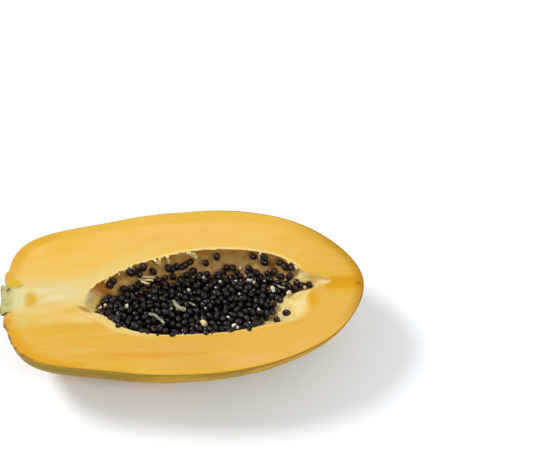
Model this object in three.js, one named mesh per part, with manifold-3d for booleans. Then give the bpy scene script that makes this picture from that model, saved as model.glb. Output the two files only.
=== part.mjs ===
// A ripe papaya cut in half from end to end, lying on its skin with the cut face level and up.
// Three pieces: the fruit half itself (skin and flesh grown as one, with its seed cavity open), the
// stub of the stem that the same cut has split, and the heap of seeds that fills the cavity.
// Millimetres. +X runs from the stem to the blossom end, +Z is up, and the table is at z = 0.

import * as THREE from "three";
import { mergeVertices } from "three/addons/utils/BufferGeometryUtils.js";
import Module from "manifold-3d";

const wasm = await Module();
wasm.setup();

const { PI, abs, acos, atan2, cos, exp, hypot, max, min, pow, sin } = Math;
const rad = THREE.MathUtils.degToRad;

// The whole fruit.
const STEM_END_X = -114.2;
const BLOSSOM_END_X = 115.6;
const MIDDLE_X = (STEM_END_X + BLOSSOM_END_X) / 2;
const HALF_LENGTH = (BLOSSOM_END_X - STEM_END_X) / 2;
const HALF_WIDTH = 58.1; // of the ellipsoid that the fruit is nearest to
const DEPTH = 57.9; // from the cut face to the lowest skin, before the resting spot flattens it
const FACE_Z = 56; // the cut face above the table: what the skin would reach below it is the flat spot
const FLANK_TUCK = 0.25; // how far the flanks draw in under the cut at the blossom end
const FLANK_SWELL = 0.36; // how far they swell under it at the stem end
const STEM_DISH = 3.5; // how far the stem end is dished
const STEM_DISH_RADIUS = 22;
const SHOULDER_START = rad(110); // where the fruit begins to swell towards the stem
const SHOULDER_SWELL = 72; // extra half-width of an unrounded stem end
const BELLY = 2.2; // extra half-width between the girth and the blossom end
const TIP_TAPER = 4; // how much narrower the blossom end is than an ellipsoid's
// The blossom end is fuller on two sides: [where round the cut face, by how much].
const CHEEKS = [
  [rad(-28), 4],
  [rad(48), 1.3],
];
const CHEEK_SPREAD = rad(20);
const LOBES = 5; // carpels, which show as five faint ridges round the fruit
const LOBE_HEIGHT = 0.9;
const LOBE_HEIGHT_AT_STEM = 2.2;
const LOBE_TURN = rad(54); // puts a shallow furrow, and not a ridge, underneath

// The seed cavity.
const CAVITY_X = 8.7; // its middle lies towards the blossom end
const CAVITY_Y = -0.2;
const CAVITY_HALF_LENGTH = 71.8;
const CAVITY_HALF_WIDTH = 29.9;
const CAVITY_DEPTH = 28;
const CAVITY_EGG = 0.14; // it is wider towards the blossom end, and narrower towards the stem
const CAVITY_LEAN = 5.2; // its stem end leans off the fruit's middle line
const CAVITY_BLUNT = 1.6; // how much shorter it is towards the stem
const CAVITY_PINCH = 5; // how far its rim comes in on one side of that end
const CAVITY_PINCH_AT = rad(207);
const CAVITY_PINCH_SPREAD = rad(16);
const CAVITY_POINT = 14.4; // how far its end draws out into the seam
const CAVITY_POINT_AT = rad(4);
const CAVITY_POINT_SPREAD = rad(7.5);
const RIDGE_HEIGHT = 1.1; // the placental ridges that the seeds grow from
const SLOPE_AT = rad(-33); // the side of the rim that lies further out
const SLOPE_SPREAD = rad(13);
const SLOPE_BULGE = 6.6;
const SHELF_AT = rad(-20); // the side where the wall runs out as a gentle shelf
const SHELF_SPREAD = rad(32);

// The seam in the flesh from the cavity to the blossom end.
const SEAM_DEPTH = 1.1;

// The stem stub and the small lobes of flesh that stand round it.
const STUB_TIP_X = -115.6;
const STUB_RADIUS = 10.4;
// The stub's outline from its broken tip to its root in the flesh: [how far in, share of its radius].
const STUB_OUTLINE = [
  [0.9, 0],
  [0.1, 0.78],
  [0.3, 0.93],
  [1.2, 1],
  [4.4, 0.94],
  [7.5, 0.86],
  [10.6, 0.6],
  [11.8, 0],
];
const STUB_FACETS = 32;
const COLLAR_ANGLES = [8, 64, 118, 172]; // degrees below the cut face, round the stem
const COLLAR_RADIUS = 15.6; // from the stem's middle line
const COLLAR_X = -108.4;
const COLLAR_LOBE = [4.9, 4.6, 6.8]; // half sizes of one lobe: along the stem, across it, round it
const FIT_GAP = 0.35; // clear space between pieces that touch

// The heap of seeds.
const SEED_HALF = [3.7, 3.1, 3.0]; // half sizes of one seed in its sac
const SEED_SPACING = 6.3;
const SEED_JITTER = 1.0;
const SEED_SINK = 1.3; // how far the seeds' middles lie over the bed that they are fused to
const HEAP_TOP = 1.2; // below the cut face, on the side where the heap stands highest
const HEAP_HIGH_SIDE = -28.5; // y of that side, at the cavity's middle
const HEAP_REACH = 75; // half the length of that side, which is curved as the rim is
const HEAP_FALL = 0.0934;
const HEAP_FALL_POWER = 1.3;
// The straight lines where the heap runs out: [turn, distance from the cavity's middle, height].
const HEAP_TOES = [
  [rad(-51), 45.2, 47],
  [rad(190), 66, 43.5],
  [rad(139), 48.5, 44.5],
];
const TOE_RISE = 0.9; // how steeply the heap rises from them
const RANDOM_SEED = 7;

// How finely the solids are drawn.
const SEGMENTS = 80;
const SKIN_RINGS = 15;
const FACE_RINGS = 3;
const CAVITY_RINGS = 11;

// ---- Solids from rings of points ----

// A closed solid from a stack of rings with the same count of points, closed by a point at each end.
function ringSolid(startPole, rings, endPole) {
  const count = rings[0].length;
  const points = [startPole, ...rings.flat(), endPole];
  const last = points.length - 1;
  const at = (ring, i) => 1 + ring * count + (i % count);
  const faces = [];
  for (let i = 0; i < count; i++) {
    faces.push(0, at(0, i + 1), at(0, i));
    for (let ring = 0; ring + 1 < rings.length; ring++) {
      faces.push(at(ring, i), at(ring + 1, i + 1), at(ring + 1, i));
      faces.push(at(ring, i), at(ring, i + 1), at(ring + 1, i + 1));
    }
    faces.push(at(rings.length - 1, i), at(rings.length - 1, i + 1), last);
  }
  const geometry = new THREE.BufferGeometry().setFromPoints(points);
  geometry.setIndex(faces);
  return solidOf(geometry);
}

function solidOf(geometry) {
  const bare = new THREE.BufferGeometry();
  bare.setAttribute("position", geometry.getAttribute("position"));
  bare.setIndex(geometry.index);
  const merged = mergeVertices(bare, 1e-4);
  return new wasm.Manifold(
    new wasm.Mesh({
      numProp: 3,
      vertProperties: new Float32Array(merged.attributes.position.array),
      triVerts: new Uint32Array(merged.index.array),
    }),
  );
}

function geometryOf(solid) {
  const { vertProperties, triVerts } = solid.getMesh();
  const geometry = new THREE.BufferGeometry();
  geometry.setAttribute("position", new THREE.BufferAttribute(vertProperties, 3));
  geometry.setIndex(new THREE.BufferAttribute(triVerts, 1));
  geometry.computeVertexNormals();
  return geometry;
}

function ellipsoid(centre, half, turn = new THREE.Quaternion(), detail = 0) {
  const place = new THREE.Matrix4().compose(centre, turn, new THREE.Vector3(...half));
  return solidOf(new THREE.IcosahedronGeometry(1, detail).applyMatrix4(place));
}

// ---- The fruit half ----

// How wide the fruit is at a station, as the half-width of the ellipsoid that it would be part of.
// station is the cosine along the fruit: -1 at the stem, 1 at the blossom end.
function fullness(station) {
  const towardsStem = max(0, acos(station) - SHOULDER_START) / (PI - SHOULDER_START);
  const towardsTip = max(0, station);
  const belly = BELLY * sin(PI * towardsTip) - TIP_TAPER * towardsTip ** 8;
  return HALF_WIDTH + belly + SHOULDER_SWELL * towardsStem ** 2;
}

// The five faint ridges, strongest on the shoulders and gone at the very ends.
function lobe(station, round) {
  const towardsStem = max(0, -station);
  const height = LOBE_HEIGHT + (LOBE_HEIGHT_AT_STEM - LOBE_HEIGHT) * towardsStem ** 2;
  return height * (1 - station ** 6) * cos(LOBES * (round - LOBE_TURN));
}

// A point of the skin: turn goes round the rim, down from the rim (0) to the underside (90 degrees).
function skinPoint(turn, down) {
  const station = cos(turn) * cos(down);
  const across = sin(turn) * cos(down);
  const below = sin(down);
  const cheeks = CHEEKS.map(([at, height]) => height * bell(angleFrom(turn, at), CHEEK_SPREAD));
  const cheek = (cheeks[0] + cheeks[1]) * cos(down);
  const swell = fullness(station) + cheek + lobe(station, atan2(below, across));
  const flank = (FLANK_SWELL * (1 - station) - FLANK_TUCK * (1 + station)) / 2;
  const fromAxis = hypot(across, below) * swell;
  const dish = station < 0 ? STEM_DISH * bell(fromAxis, STEM_DISH_RADIUS) : 0;
  const x = MIDDLE_X + HALF_LENGTH * station + dish;
  const z = FACE_Z - (below * swell * DEPTH) / HALF_WIDTH;
  return new THREE.Vector3(x, across * swell * (1 + flank * below * (1 - below)), max(0, z));
}

function bell(x, spread) {
  return exp(-((x / spread) ** 2));
}

// How far a turn is from another, -180 to 180 degrees.
function angleFrom(turn, other) {
  return atan2(sin(turn - other), cos(turn - other));
}

// The cavity's rim, shrunk by inset for the seeds' own clearance.
function cavityRim(turn, inset) {
  const slope = SLOPE_BULGE * bell(angleFrom(turn, SLOPE_AT), SLOPE_SPREAD);
  const pinch = CAVITY_PINCH * bell(angleFrom(turn, CAVITY_PINCH_AT), CAVITY_PINCH_SPREAD);
  const bulge = slope - pinch - inset;
  const point = CAVITY_POINT * bell(angleFrom(turn, CAVITY_POINT_AT), CAVITY_POINT_SPREAD);
  const halfWidth = CAVITY_HALF_WIDTH * (1 + CAVITY_EGG * cos(turn));
  const lean = CAVITY_LEAN * min(0, cos(turn));
  const halfLength = CAVITY_HALF_LENGTH - CAVITY_BLUNT * max(0, -cos(turn));
  return new THREE.Vector2(
    CAVITY_X + (halfLength + bulge) * cos(turn) + point,
    CAVITY_Y + (halfWidth + bulge) * sin(turn) + lean,
  );
}

// How the wall falls from the rim: 0.5 is a round wall, upright at the rim, and 1.5 a gentle shelf.
function wallPower(turn) {
  return 0.5 + bell(angleFrom(turn, SHELF_AT), SHELF_SPREAD);
}

// A point of the cavity's wall: share is 1 at the rim and 0 at the cavity's middle.
function cavityPoint(turn, share, inset = 0) {
  const rim = cavityRim(turn, inset);
  const x = CAVITY_X + (rim.x - CAVITY_X) * share;
  const y = CAVITY_Y + (rim.y - CAVITY_Y) * share;
  const depth = (CAVITY_DEPTH - inset) * pow(1 - share ** 2, wallPower(turn));
  const ridge = RIDGE_HEIGHT * cos(LOBES * (atan2(depth, y) - LOBE_TURN)) * min(1, depth / 8);
  return new THREE.Vector3(x, y, FACE_Z - depth + ridge);
}

function seamDepth(x, turn) {
  if (abs(angleFrom(turn, 0)) > 0.01) return 0;
  const start = CAVITY_X + CAVITY_HALF_LENGTH + CAVITY_POINT;
  return x > start && x < BLOSSOM_END_X - 2 ? SEAM_DEPTH : 0;
}

function turns(count) {
  return Array.from({ length: count }, (_, i) => (2 * PI * i) / count);
}

function steps(count, from = 0, to = 1) {
  return Array.from({ length: count }, (_, i) => from + ((to - from) * i) / (count - 1));
}

function fruitBody() {
  const round = turns(SEGMENTS);
  const skin = steps(SKIN_RINGS, PI / 2, 0)
    .slice(1)
    .map((down) => round.map((turn) => skinPoint(turn, down)));
  const face = steps(FACE_RINGS + 2, 0, 1)
    .slice(1, -1)
    .map((inward) =>
      round.map((turn) => {
        const outer = skinPoint(turn, 0);
        const point = outer.lerp(cavityPoint(turn, 1), inward);
        point.z = FACE_Z - seamDepth(point.x, turn);
        return point;
      }),
    );
  const wall = steps(CAVITY_RINGS, 0, PI / 2)
    .slice(0, -1)
    .map((down) => round.map((turn) => cavityPoint(turn, cos(down))));
  const underside = new THREE.Vector3(0, 0, 0);
  return ringSolid(underside, [...skin, ...face, ...wall], cavityPoint(PI / 2, 0));
}

// ---- The stem end ----

// The stub's round solid before the cut, grown by a gap: a turned shape laid along the fruit.
function stubRound(gap) {
  const outline = STUB_OUTLINE.map(([inward, share], i, all) => {
    const atEnd = i === 0 ? -1 : i === all.length - 1 ? 1 : 0;
    const radius = share * STUB_RADIUS + (share ? gap : 0);
    return new THREE.Vector2(radius, STUB_TIP_X + inward + atEnd * gap);
  });
  const lathe = new THREE.LatheGeometry(outline, STUB_FACETS);
  lathe.rotateZ(-PI / 2);
  lathe.translate(0, 0, FACE_Z);
  return solidOf(lathe);
}

function stemStub() {
  return belowFace(stubRound(0));
}

function collarLobes() {
  return COLLAR_ANGLES.map((degrees) => {
    const round = rad(degrees);
    const centre = new THREE.Vector3(
      COLLAR_X,
      COLLAR_RADIUS * cos(round),
      FACE_Z - COLLAR_RADIUS * sin(round),
    );
    const turn = new THREE.Quaternion().setFromAxisAngle(new THREE.Vector3(1, 0, 0), -round);
    return ellipsoid(centre, COLLAR_LOBE, turn, 1);
  });
}

function belowFace(solid) {
  return solid.trimByPlane([0, 0, -1], -FACE_Z);
}

function fruitHalf() {
  const lobes = collarLobes().map(belowFace);
  const whole = wasm.Manifold.union([fruitBody(), ...lobes]);
  return whole.subtract(stubRound(FIT_GAP));
}

// ---- The seeds ----

function seededRandom(state) {
  return () => {
    state = (state + 0x6d2b79f5) | 0;
    let t = Math.imul(state ^ (state >>> 15), 1 | state);
    t = (t + Math.imul(t ^ (t >>> 7), 61 | t)) ^ t;
    return ((t ^ (t >>> 14)) >>> 0) / 4294967296;
  };
}

// The heap's surface: high against one side wall, falling to the other, and running out at its toes.
function heapZ(x, y) {
  const along = x - CAVITY_X;
  const highSide = HEAP_HIGH_SIDE * max(0, 1 - (along / HEAP_REACH) ** 2) ** 0.5;
  const fall = HEAP_FALL * pow(max(0, y - highSide), HEAP_FALL_POWER);
  const toes = HEAP_TOES.map(([turn, distance, height]) => {
    const inside = distance - along * cos(turn) - (y - CAVITY_Y) * sin(turn);
    return height + TOE_RISE * inside;
  });
  return min(FACE_Z - HEAP_TOP - fall, ...toes);
}

// The height of the cavity's wall under a point, or Infinity outside the cavity.
function wallZ(x, y) {
  const off = new THREE.Vector2(x - CAVITY_X, y - CAVITY_Y);
  const turn = atan2(off.y / CAVITY_HALF_WIDTH, off.x / CAVITY_HALF_LENGTH);
  const rim = cavityRim(turn, 0);
  const share = off.length() / hypot(rim.x - CAVITY_X, rim.y - CAVITY_Y);
  return share < 1 ? cavityPoint(turn, share).z : Infinity;
}

// The room that the heap may fill: the cavity less the gap, carried up over the cut face.
function cavityRoom() {
  const round = turns(SEGMENTS);
  const wall = steps(CAVITY_RINGS, PI / 2, 0)
    .slice(1)
    .map((down) => round.map((turn) => cavityPoint(turn, cos(down), 2 * FIT_GAP)));
  const top = wall.at(-1).map((p) => p.clone().setZ(FACE_Z + 8));
  const middle = new THREE.Vector3(CAVITY_X, CAVITY_Y, FACE_Z + 8);
  return ringSolid(cavityPoint(PI / 2, 0, 2 * FIT_GAP), [...wall, top], middle);
}

// The bed under the seeds: all below the heap's surface.
function seedBed() {
  const round = turns(SEGMENTS / 2);
  const lid = (share) =>
    round.map((turn) => {
      const rim = cavityRim(turn, 0);
      const x = CAVITY_X + (rim.x - CAVITY_X) * share;
      const y = CAVITY_Y + (rim.y - CAVITY_Y) * share;
      return new THREE.Vector3(x, y, heapZ(x, y) - SEED_SINK);
    });
  const floor = lid(1.1).map((p) => p.setZ(0));
  const rings = [floor, ...[1.1, 0.9, 0.75, 0.6, 0.4, 0.2].map(lid)];
  const low = new THREE.Vector3(CAVITY_X, CAVITY_Y, 0);
  const high = new THREE.Vector3(CAVITY_X, CAVITY_Y, heapZ(CAVITY_X, CAVITY_Y) - SEED_SINK);
  return ringSolid(low, rings, high);
}

function seedPlaces(random) {
  const places = [];
  const rowStep = (SEED_SPACING * 3 ** 0.5) / 2;
  const rows = Math.ceil(CAVITY_HALF_WIDTH / rowStep);
  const columns = Math.ceil(CAVITY_HALF_LENGTH / SEED_SPACING);
  for (let row = -rows; row <= rows; row++)
    for (let column = -columns; column <= columns; column++) {
      const shift = row % 2 ? SEED_SPACING / 2 : 0;
      const x = CAVITY_X + column * SEED_SPACING + shift + (random() - 0.5) * SEED_JITTER;
      const y = CAVITY_Y + row * rowStep + (random() - 0.5) * SEED_JITTER;
      const z = heapZ(x, y) + (random() - 0.5) * SEED_JITTER;
      if (z > wallZ(x, y) + SEED_HALF[2]) places.push(new THREE.Vector3(x, y, z));
    }
  return places;
}

function seedHeap() {
  const random = seededRandom(RANDOM_SEED);
  const seeds = seedPlaces(random).map((place) => {
    return ellipsoid(place, SEED_HALF, randomTurn(random));
  });
  const heap = wasm.Manifold.union([seedBed(), ...seeds]).intersect(cavityRoom());
  const bodies = heap.decompose().sort((a, b) => b.volume() - a.volume());
  return bodies[0]; // without the few seeds at the toes that touch no other
}

function randomTurn(random) {
  const euler = new THREE.Euler(random() * PI, random() * PI, random() * PI);
  return new THREE.Quaternion().setFromEuler(euler);
}

// ---- The model ----

function piece(name, solid, colour, roughness) {
  const material = new THREE.MeshStandardMaterial({ color: colour, roughness, metalness: 0 });
  const mesh = new THREE.Mesh(geometryOf(solid), material);
  mesh.name = name;
  return mesh;
}

const papaya = new THREE.Group();
papaya.add(piece("fruit_half", fruitHalf(), 0xeeb94f, 0.45));
papaya.add(piece("stem_stub", stemStub(), 0xc7bf7c, 0.6));
papaya.add(piece("seeds", seedHeap(), 0x2b2320, 0.25));

export default papaya;
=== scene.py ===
import math

import bpy
import numpy as np
from mathutils import Euler, Matrix, Vector, noise


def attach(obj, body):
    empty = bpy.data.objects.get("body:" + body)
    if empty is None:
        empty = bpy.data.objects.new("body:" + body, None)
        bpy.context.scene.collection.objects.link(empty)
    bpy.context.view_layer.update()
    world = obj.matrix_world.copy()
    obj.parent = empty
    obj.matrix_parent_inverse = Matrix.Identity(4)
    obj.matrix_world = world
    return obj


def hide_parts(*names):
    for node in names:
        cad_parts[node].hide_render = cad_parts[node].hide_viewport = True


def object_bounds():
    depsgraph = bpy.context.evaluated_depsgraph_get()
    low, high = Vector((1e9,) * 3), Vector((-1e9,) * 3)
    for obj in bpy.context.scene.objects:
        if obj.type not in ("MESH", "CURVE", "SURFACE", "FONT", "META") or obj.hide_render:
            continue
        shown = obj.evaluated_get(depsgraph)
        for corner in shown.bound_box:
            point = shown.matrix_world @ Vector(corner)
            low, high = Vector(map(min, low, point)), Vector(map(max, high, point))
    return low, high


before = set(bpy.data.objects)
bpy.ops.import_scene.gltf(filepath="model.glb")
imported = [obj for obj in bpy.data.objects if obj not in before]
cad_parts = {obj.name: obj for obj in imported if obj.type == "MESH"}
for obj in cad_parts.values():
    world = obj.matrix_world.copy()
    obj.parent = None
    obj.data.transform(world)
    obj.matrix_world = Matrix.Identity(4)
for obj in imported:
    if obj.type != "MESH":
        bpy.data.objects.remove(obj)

cad_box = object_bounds()

# ---- The studio ----
# A pale table top under a soft lamp behind the stem end and a weaker one across from it, in a
# bright room that fills the shadows. The camera looks down on the cut face from the heap's side.

SIGHT = Vector((0.0559, 0.0434, 0.056))  # the point of the cut face's plane that the camera looks at
SIGHT_HEIGHT = math.radians(60)
SIGHT_TURN = math.radians(-3.2)
SIGHT_DISTANCE = 0.9136
LENS = 94.6
ROOM_LIGHT = 0.7
LAMP_DISTANCE = 3
STUDIO_LIGHT = 1.3  # what a level white surface sends back, where 1 is full white


class Value:
    """A number or colour that changes over a surface. Sums with it add Math nodes."""

    def __init__(self, finish, socket):
        self.finish = finish
        self.socket = socket

    def math(self, operation, first, second):
        return self.finish.node("Math", {"operation": operation}, {0: first, 1: second})

    def __add__(self, other):
        return self.math("ADD", self, other)

    def __radd__(self, other):
        return self.math("ADD", other, self)

    def __sub__(self, other):
        return self.math("SUBTRACT", self, other)

    def __rsub__(self, other):
        return self.math("SUBTRACT", other, self)

    def __mul__(self, other):
        return self.math("MULTIPLY", self, other)

    def __rmul__(self, other):
        return self.math("MULTIPLY", other, self)

    def over(self, low, high):
        """0 at low and 1 at high, with soft ends."""
        ends = {"From Min": low, "From Max": high, "To Min": 0.0, "To Max": 1.0}
        return self.finish.node("MapRange", {"interpolation_type": "SMOOTHSTEP"}, {"Value": self, **ends})

    def near(self, middle, spread):
        """1 at middle, falling to 0 a spread away on either side."""
        return self.math("SUBTRACT", self, middle).absolute().over(spread, 0.0)

    def absolute(self):
        return self.finish.node("Math", {"operation": "ABSOLUTE"}, {0: self})


class Finish:
    """A material and its node tree. Its colours are written as they show in the studio, 0 to 255."""

    def __init__(self, name, gloss=0.0):
        self.gloss = gloss  # what the shine adds to every colour
        self.material = bpy.data.materials.new(name)
        self.material.use_nodes = True
        self.tree = self.material.node_tree
        self.tree.nodes.clear()

    def paint(self, colour):
        if isinstance(colour, Value):
            return colour
        linear = (((c / 255 + 0.055) / 1.055) ** 2.4 for c in colour)
        return *(max(0.0, (c - self.gloss) / STUDIO_LIGHT) for c in linear), 1

    def node(self, kind, settings=(), sockets=(), output=0):
        node = self.tree.nodes.new("ShaderNode" + kind)
        for name, setting in dict(settings).items():
            setattr(node, name, setting)
        for name, value in dict(sockets).items():
            if isinstance(value, Value):
                self.tree.links.new(value.socket, node.inputs[name])
            else:
                node.inputs[name].default_value = value
        return Value(self, node.outputs[output]) if node.outputs else None

    def place(self):
        return self.node("TexCoord", output="Object")

    def measure(self, name):
        return self.node("Attribute", {"attribute_name": name}, output="Fac")

    def noise(self, size, stretch=(1, 1, 1), **sockets):
        """Soft noise from 0 to 1 whose blotches are about size metres across, stretched on each axis."""
        scale = tuple(1 / (size * s) for s in stretch)
        place = self.node("Mapping", (), {"Vector": self.place(), "Scale": scale})
        named = {name.capitalize(): value for name, value in sockets.items()}
        return self.node("TexNoise", (), {"Vector": place, "Scale": 1.0, **named})

    def mix(self, share, first, second):
        """The first colour, and the second where share is 1."""
        colours = {0: share, 6: self.paint(first), 7: self.paint(second)}
        return self.node("Mix", {"data_type": "RGBA"}, colours, 2)

    def patch(self, middle, half_size, degrees=0.0, soft=0.6):
        """1 in an oval patch of the cut face, in millimetres, falling to 0 over its soft outer share."""
        shape = {
            "Location": (middle[0] / 1000, middle[1] / 1000, SIGHT.z),
            "Rotation": (0, 0, math.radians(degrees)),
            "Scale": (half_size[0] / 1000, half_size[1] / 1000, 1),
        }
        inside = self.node("Mapping", {"vector_type": "TEXTURE"}, {"Vector": self.place(), **shape})
        return self.node("VectorMath", {"operation": "LENGTH"}, {0: inside}, "Value").over(1.0, 1 - soft)

    def relief(self, height, depth):
        """Dents and grain: height is 0 to 1, and depth is the metres that 1 stands proud."""
        return self.node("Bump", (), {"Height": height, "Distance": depth, "Strength": 1.0})

    def surface(self, **sockets):
        """Ends the tree with a shader whose sockets are given by name, and gives the material."""
        titles = [name.replace("_", " ").title().replace("Ior", "IOR") for name in sockets]
        shader = self.node("BsdfPrincipled", (), zip(titles, sockets.values()))
        self.node("OutputMaterial", (), {"Surface": shader})
        return self.material


bpy.ops.object.select_all(action="DESELECT")
bpy.ops.object.camera_add()
camera = bpy.context.object
camera.rotation_euler = (math.pi / 2 - SIGHT_HEIGHT, 0, SIGHT_TURN)
back = camera.rotation_euler.to_matrix() @ Vector((0, 0, 1))
camera.location = SIGHT + SIGHT_DISTANCE * back
camera.data.lens = LENS
camera.data.clip_start = 0.01
bpy.context.scene.camera = camera
bpy.context.scene.view_settings.view_transform = "Standard"

room = bpy.data.worlds.new("room")
bpy.context.scene.world = room
room.use_nodes = True
backdrop = room.node_tree.nodes["Background"]
backdrop.inputs["Color"].default_value = (1.0, 1.0, 1.0, 1)
backdrop.inputs["Strength"].default_value = ROOM_LIGHT


def lamp(name, direction, size, watts):
    """A round soft lamp that faces the fruit."""
    bpy.ops.object.light_add(type="AREA", location=LAMP_DISTANCE * Vector(direction).normalized())
    light = bpy.context.object
    light.name = name
    light.rotation_euler = light.location.to_track_quat("Z", "Y").to_euler()
    light.data.shape = "DISK"
    light.data.size = size
    light.data.energy = watts


lamp("key_light", direction=(-0.55, 0.28, 0.8), size=0.9, watts=50)
lamp("fill_light", direction=(0.62, -0.35, 0.7), size=0.6, watts=19)

bpy.ops.mesh.primitive_plane_add(size=6)
table = bpy.context.object
table.name = "table_top"
board = Finish("table_top")
white = board.mix(board.noise(0.3), (270, 275, 281), (272, 277, 283))
table.data.materials.append(board.surface(base_color=white, roughness=0.6))

# ---- The fruit half ----
# Skin and flesh grown as one: a long ellipsoid with broad shoulders at the stem, five faint ridges
# and tucked flanks. The knife has left a flat face round the open seed cavity, whose wall shows the
# ridges that the seeds grow from. The skin's edge and the cavity's rim are slightly rounded.

STEM_END_X = -0.1142
BLOSSOM_END_X = 0.1156
MIDDLE_X = (STEM_END_X + BLOSSOM_END_X) / 2
HALF_LENGTH = (BLOSSOM_END_X - STEM_END_X) / 2
HALF_WIDTH = 0.0581
DEPTH = 0.0579
FACE_Z = 0.056
FLANK_TUCK = 0.25
FLANK_SWELL = 0.36
STEM_DISH = 0.0035
STEM_DISH_RADIUS = 0.022
SHOULDER_START = math.radians(110)
SHOULDER_SWELL = 0.072
BELLY = 0.0022
TIP_TAPER = 0.004
# Where the blossom end is fuller: the turn and the height.
CHEEKS = ((math.radians(-28), 0.004), (math.radians(48), 0.0013))
CHEEK_SPREAD = math.radians(20)
LOBES = 5
LOBE_HEIGHT = 0.0009
LOBE_HEIGHT_AT_STEM = 0.0022
LOBE_TURN = math.radians(54)

CAVITY_X = 0.0087
CAVITY_Y = -0.0002
CAVITY_HALF_LENGTH = 0.0718
CAVITY_HALF_WIDTH = 0.0299
CAVITY_DEPTH = 0.028
CAVITY_EGG = 0.14
CAVITY_LEAN = 0.0052
CAVITY_BLUNT = 0.0016
CAVITY_PINCH = 0.005
CAVITY_PINCH_AT = math.radians(207)
CAVITY_PINCH_SPREAD = math.radians(16)
# Where the rim is a little fuller or flatter: the turn, its spread and the height.
CAVITY_TRIMS = (
    (math.radians(156), math.radians(14), 0.001),
    (math.radians(78), math.radians(26), -0.0009),
    (math.radians(252), math.radians(20), 0.0009),
)
CAVITY_POINT = 0.0144
CAVITY_POINT_AT = math.radians(4)
CAVITY_POINT_SPREAD = math.radians(7.5)
RIDGE_HEIGHT = 0.0011
RIDGE_START = 0.008  # the depth below which the ridges have their full height
SLOPE_AT = math.radians(-33)
SLOPE_SPREAD = math.radians(13)
SLOPE_BULGE = 0.0066
SHELF_AT = math.radians(-20)
SHELF_SPREAD = math.radians(32)

SEAM_START_X = CAVITY_X + CAVITY_HALF_LENGTH + CAVITY_POINT * 0.7
SEAM_START_LENGTH = 0.008  # over which the seam sinks to its full depth
SEAM_END_X = BLOSSOM_END_X - 0.0005
SEAM_END_LENGTH = 0.003
SEAM_DEPTH = 0.0007
SEAM_WIDTH = 0.0019
SWELLING_HEIGHT = 0.0003  # of the flesh on either side of the seam
SWELLING_OFF = 0.005
SWELLING_WIDTH = 0.003
SKIN_EDGE = 0.0006  # how far the corner between skin and cut face is rounded
RIM_EDGE = 0.0007
LIP_EDGE = 0.0016  # how much rounder the rim is at the stem end
LIP_AT = math.radians(188)
LIP_SPREAD = math.radians(30)
RAGGED = 0.0014  # how far the torn rim wanders where it is torn most
RAGGED_AT = math.radians(125)
RAGGED_SPREAD = math.radians(35)
RAGGED_ELSEWHERE = 0.25
RAGGED_SIZE = 0.0022
RAGGED_REACH = 0.005
SKIN_WAVES = 0.0003
FACE_WAVES = 0.00012
FLAT_SPOT = 0.0002  # the height below which the skin rests on the table and has no waves
# The lumps of the wall and the folds that run down it: the height and the size.
WALL_KNOBS = ((0.0006, 0.005), (0.0003, 0.0018))
WALL_FOLD_HEIGHT = 0.0007
WALL_FOLD_SIZE = 0.0055
WALL_LUMPS_START = 0.002  # below the rim
ROUND_STEPS = 384
SKIN_STEPS = 66
EDGE_STEPS = 4
FACE_STEPS = 34
RIM_STEPS = 5
WALL_STEPS = 36


def bell(x, spread):
    """1 where x is 0, falling smoothly to 0 on either side."""
    return np.exp(-((x / spread) ** 2))


def angle_from(turn, other):
    return np.arctan2(np.sin(turn - other), np.cos(turn - other))


def skin_point(turn, down):
    """A point of the skin, by its turn in the cut face and its angle below it."""
    station = np.clip(np.cos(turn) * np.cos(down), -1, 1)
    across = np.sin(turn) * np.cos(down)
    below = np.sin(down)
    to_stem = np.maximum(0, np.arccos(station) - SHOULDER_START) / (math.pi - SHOULDER_START)
    to_tip = np.maximum(0, station)
    belly = BELLY * np.sin(math.pi * to_tip) - TIP_TAPER * to_tip**8
    fullness = HALF_WIDTH + belly + SHOULDER_SWELL * to_stem**2
    ridge = LOBE_HEIGHT + (LOBE_HEIGHT_AT_STEM - LOBE_HEIGHT) * np.maximum(0, -station) ** 2
    lobe = ridge * (1 - station**6) * np.cos(LOBES * (np.arctan2(below, across) - LOBE_TURN))
    cheek = sum(height * bell(angle_from(turn, at), CHEEK_SPREAD) for at, height in CHEEKS)
    swell = fullness + cheek * np.cos(down) + lobe
    flank = (FLANK_SWELL * (1 - station) - FLANK_TUCK * (1 + station)) / 2
    z = FACE_Z - below * swell * DEPTH / HALF_WIDTH
    dish = STEM_DISH * bell(np.hypot(across, below) * swell, STEM_DISH_RADIUS) * (station < 0)
    y = across * swell * (1 + flank * below * (1 - below))
    return np.stack([MIDDLE_X + HALF_LENGTH * station + dish, y, np.maximum(0, z)], -1)


def cavity_rim(turn, inset=0.0):
    """The edge of the cavity in the cut face, or a line that is inset from it."""
    slope = SLOPE_BULGE * bell(angle_from(turn, SLOPE_AT), SLOPE_SPREAD)
    pinch = CAVITY_PINCH * bell(angle_from(turn, CAVITY_PINCH_AT), CAVITY_PINCH_SPREAD)
    trim = sum(height * bell(angle_from(turn, at), spread) for at, spread, height in CAVITY_TRIMS)
    bulge = slope + trim - pinch - inset
    point = CAVITY_POINT * bell(angle_from(turn, CAVITY_POINT_AT), CAVITY_POINT_SPREAD)
    half_width = CAVITY_HALF_WIDTH * (1 + CAVITY_EGG * np.cos(turn))
    lean = CAVITY_LEAN * np.minimum(0, np.cos(turn))
    half_length = CAVITY_HALF_LENGTH - CAVITY_BLUNT * np.maximum(0, -np.cos(turn))
    x = CAVITY_X + (half_length + bulge) * np.cos(turn) + point
    return x, CAVITY_Y + (half_width + bulge) * np.sin(turn) + lean


def wall_power(turn):
    """How the wall falls from the rim: a half is a bowl's curve, and more is a gentler slope."""
    return 0.5 + bell(angle_from(turn, SHELF_AT), SHELF_SPREAD)


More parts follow.
